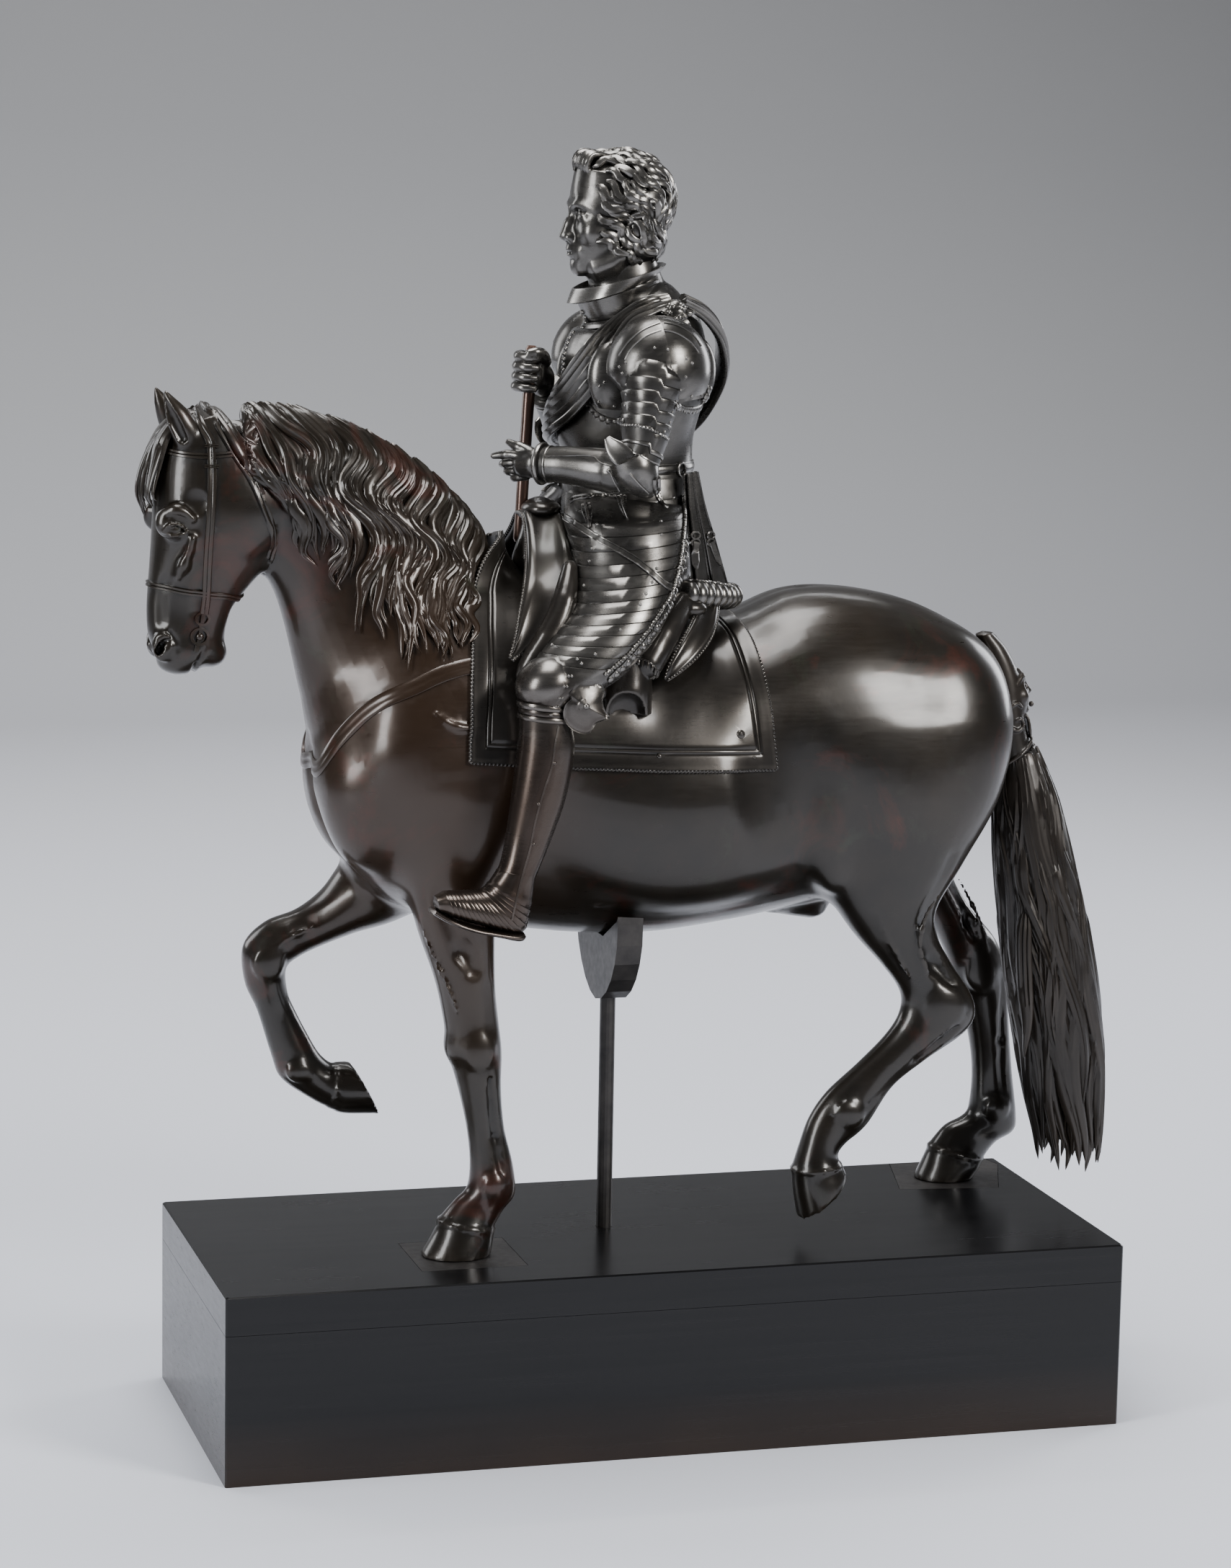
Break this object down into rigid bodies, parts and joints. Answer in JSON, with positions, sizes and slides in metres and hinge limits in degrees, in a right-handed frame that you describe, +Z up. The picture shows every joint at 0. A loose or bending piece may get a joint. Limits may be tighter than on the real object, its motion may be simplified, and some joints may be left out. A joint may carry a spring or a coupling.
{
  "type": "equestrian statuette",
  "caption": "Cast bronze statuette of an armoured rider with a staff on a walking horse, carried by a rod and cradle on a plain rectangular two-board plinth.",
  "frame": {"origin": "centre of the plinth's underside", "axes": "+Z up, -X the way the horse faces, -Y its near (left) side, plinth length along X"},
  "size_m": [0.7817, 0.286, 0.9689],
  "materials": {
    "bronze": "dark brown-black patinated bronze, soft polish",
    "bronze_matte": "dark brown bronze, duller in the hair",
    "bronze_polished": "grey-brown bronze, rubbed bright on the armour",
    "bronze_red": "reddish brown worn bronze",
    "dark_iron": "dark matt painted iron",
    "black_paint": "black semi-gloss paint with fine brush marks"
  },
  "bodies": {
    "root": {"horse": "bronze", "tail": "bronze_matte", "saddle": "bronze", "rider": "bronze_polished", "baton": "bronze_red", "support_cradle": "dark_iron", "support_rod": "dark_iron", "hoof_plate_front": "dark_iron", "hoof_plate_rear": "dark_iron", "plinth_top_board": "black_paint", "plinth_body": "black_paint"}
  },
  "joints": []
}
